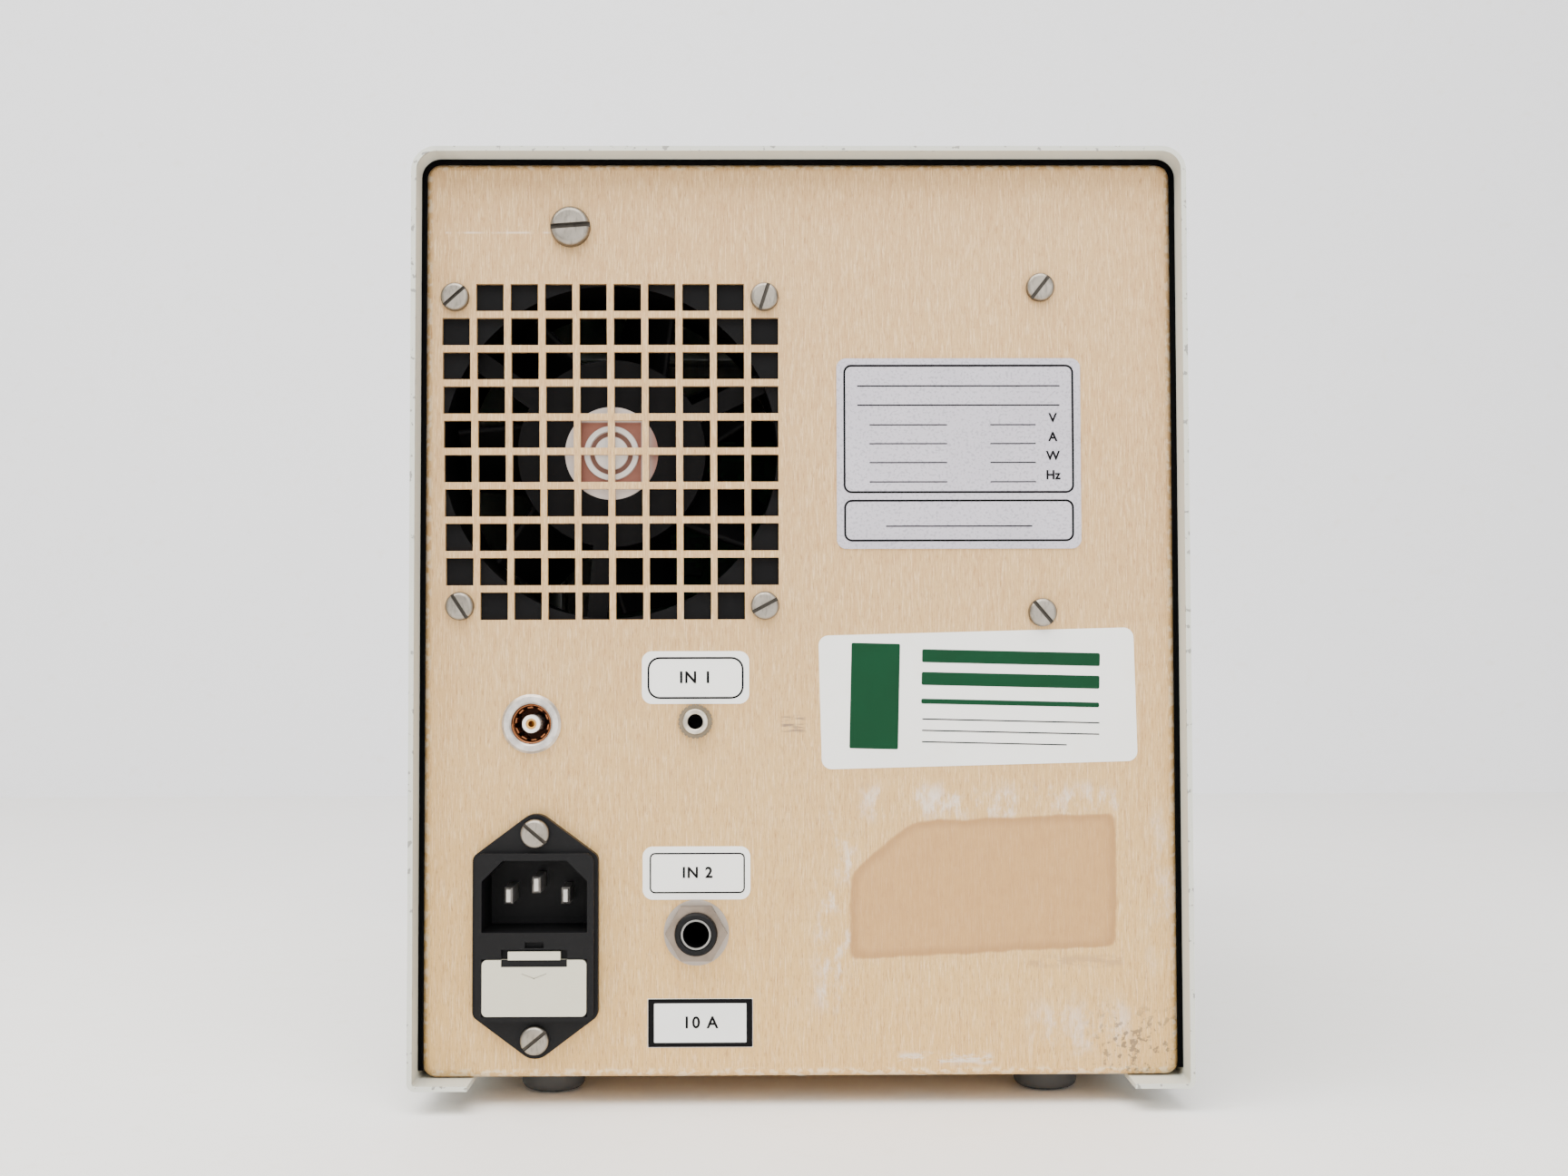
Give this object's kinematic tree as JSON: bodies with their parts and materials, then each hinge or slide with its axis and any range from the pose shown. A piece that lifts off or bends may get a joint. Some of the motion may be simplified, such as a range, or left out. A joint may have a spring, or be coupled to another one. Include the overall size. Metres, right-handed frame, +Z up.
{
  "type": "probe sonicator generator",
  "caption": "Bench generator for a probe sonicator: folded cover, rear fan grille, fused mains inlet, output socket, jacks, front keypad, amplitude knob and power rocker.",
  "frame": {"origin": "centre of the footprint on the bench, at the underside of the feet", "axes": "+Z up, +Y towards the rear panel, +X to the left as one faces the rear panel"},
  "size_m": [0.19, 0.34, 0.235],
  "materials": {
    "plain_aluminium": "mill finish",
    "beige_plastic": "matte",
    "black_plastic": "satin",
    "black_matte": "matte",
    "circuit_board": "solder mask",
    "brass": "bright",
    "cap_copper": "bronze disc",
    "winding_copper": "enamelled winding",
    "core_iron": "varnished laminations",
    "cover_paint": "fine texture paint",
    "front_paint": "painted",
    "label_white": "satin film",
    "nickel": "satin nickel",
    "keypad_film": "textured film",
    "plate_silver": "satin foil",
    "foot_rubber": "matte",
    "zinc_steel": "zinc plated",
    "gold_panel": "brushed, gold passivated",
    "white_insulator": "matte",
    "clear_window": "clear"
  },
  "bodies": {
    "chassis": {"base_plate": "gold_panel", "board_spacers": "nickel", "bridge_rectifier": "black_matte", "chassis_rivets": "plain_aluminium", "control_board": "circuit_board", "cover": "cover_paint", "cover_screws": "zinc_steel", "display_module": "black_matte", "display_window": "clear_window", "fan_bearings": "zinc_steel", "fan_end_cap": "cap_copper", "fan_frame": "black_plastic", "fan_grille": "gold_panel", "fan_screws": "zinc_steel", "fan_stator": "core_iron", "filter_capacitors": "black_plastic", "foot_screws": "zinc_steel", "front_panel": "front_paint", "heatsink": "plain_aluminium", "heatsink_screws": "zinc_steel", "inlet_housing": "black_matte", "inlet_pins": "nickel", "inlet_screws": "zinc_steel", "inner_nuts": "zinc_steel", "keypad_overlay": "keypad_film", "large_jack": "black_matte", "large_jack_nut": "nickel", "large_jack_washer": "nickel", "output_contact": "brass", "output_insulator": "white_insulator", "output_nut": "nickel", "output_socket": "nickel", "output_transformer_coil": "winding_copper", "output_transformer_core": "core_iron", "panel_labels": "label_white", "pot_nut": "nickel", "potentiometer": "nickel", "power_board": "circuit_board", "power_transistors": "black_matte", "rating_plate": "plate_silver", "rear_panel": "gold_panel", "rubber_feet": "foot_rubber", "small_jack": "nickel", "small_jack_nut": "nickel", "small_screws": "zinc_steel", "switch_body": "black_matte", "tie_bar": "zinc_steel", "tie_bar_screw": "zinc_steel", "transformer_bolts": "zinc_steel", "transformer_brackets": "zinc_steel", "transformer_coil": "winding_copper", "transformer_core": "core_iron", "tuning_coil": "winding_copper"},
    "fan_spinner": {"fan_rotor": "black_plastic", "fan_shaft": "zinc_steel"},
    "fuse_tray": {"fuse_drawer": "beige_plastic", "fuses": "clear_window"},
    "rocker": {"power_rocker": "black_plastic"},
    "knob": {"amplitude_knob": "black_matte", "pot_shaft": "zinc_steel"}
  },
  "joints": [
    {"name": "fan_spin", "type": "hinge", "parent": "chassis", "child": "fan_spinner", "pos_m": [0.047, 0.14, 0.1608], "axis": [0, 1, 0], "continuous": true},
    {"name": "fuse_drawer_slide", "type": "slide", "parent": "chassis", "child": "fuse_tray", "axis": [0, 1, 0], "range_m": [0, 0.026]},
    {"name": "rocker_tip", "type": "hinge", "parent": "chassis", "child": "rocker", "pos_m": [-0.05, -0.1565, 0.036], "axis": [-1, 0, 0], "range_deg": [0, 24]},
    {"name": "amplitude_turn", "type": "hinge", "parent": "chassis", "child": "knob", "pos_m": [0.048, -0.16, 0.036], "axis": [0, 1, 0], "range_deg": [0, 300]}
  ]
}
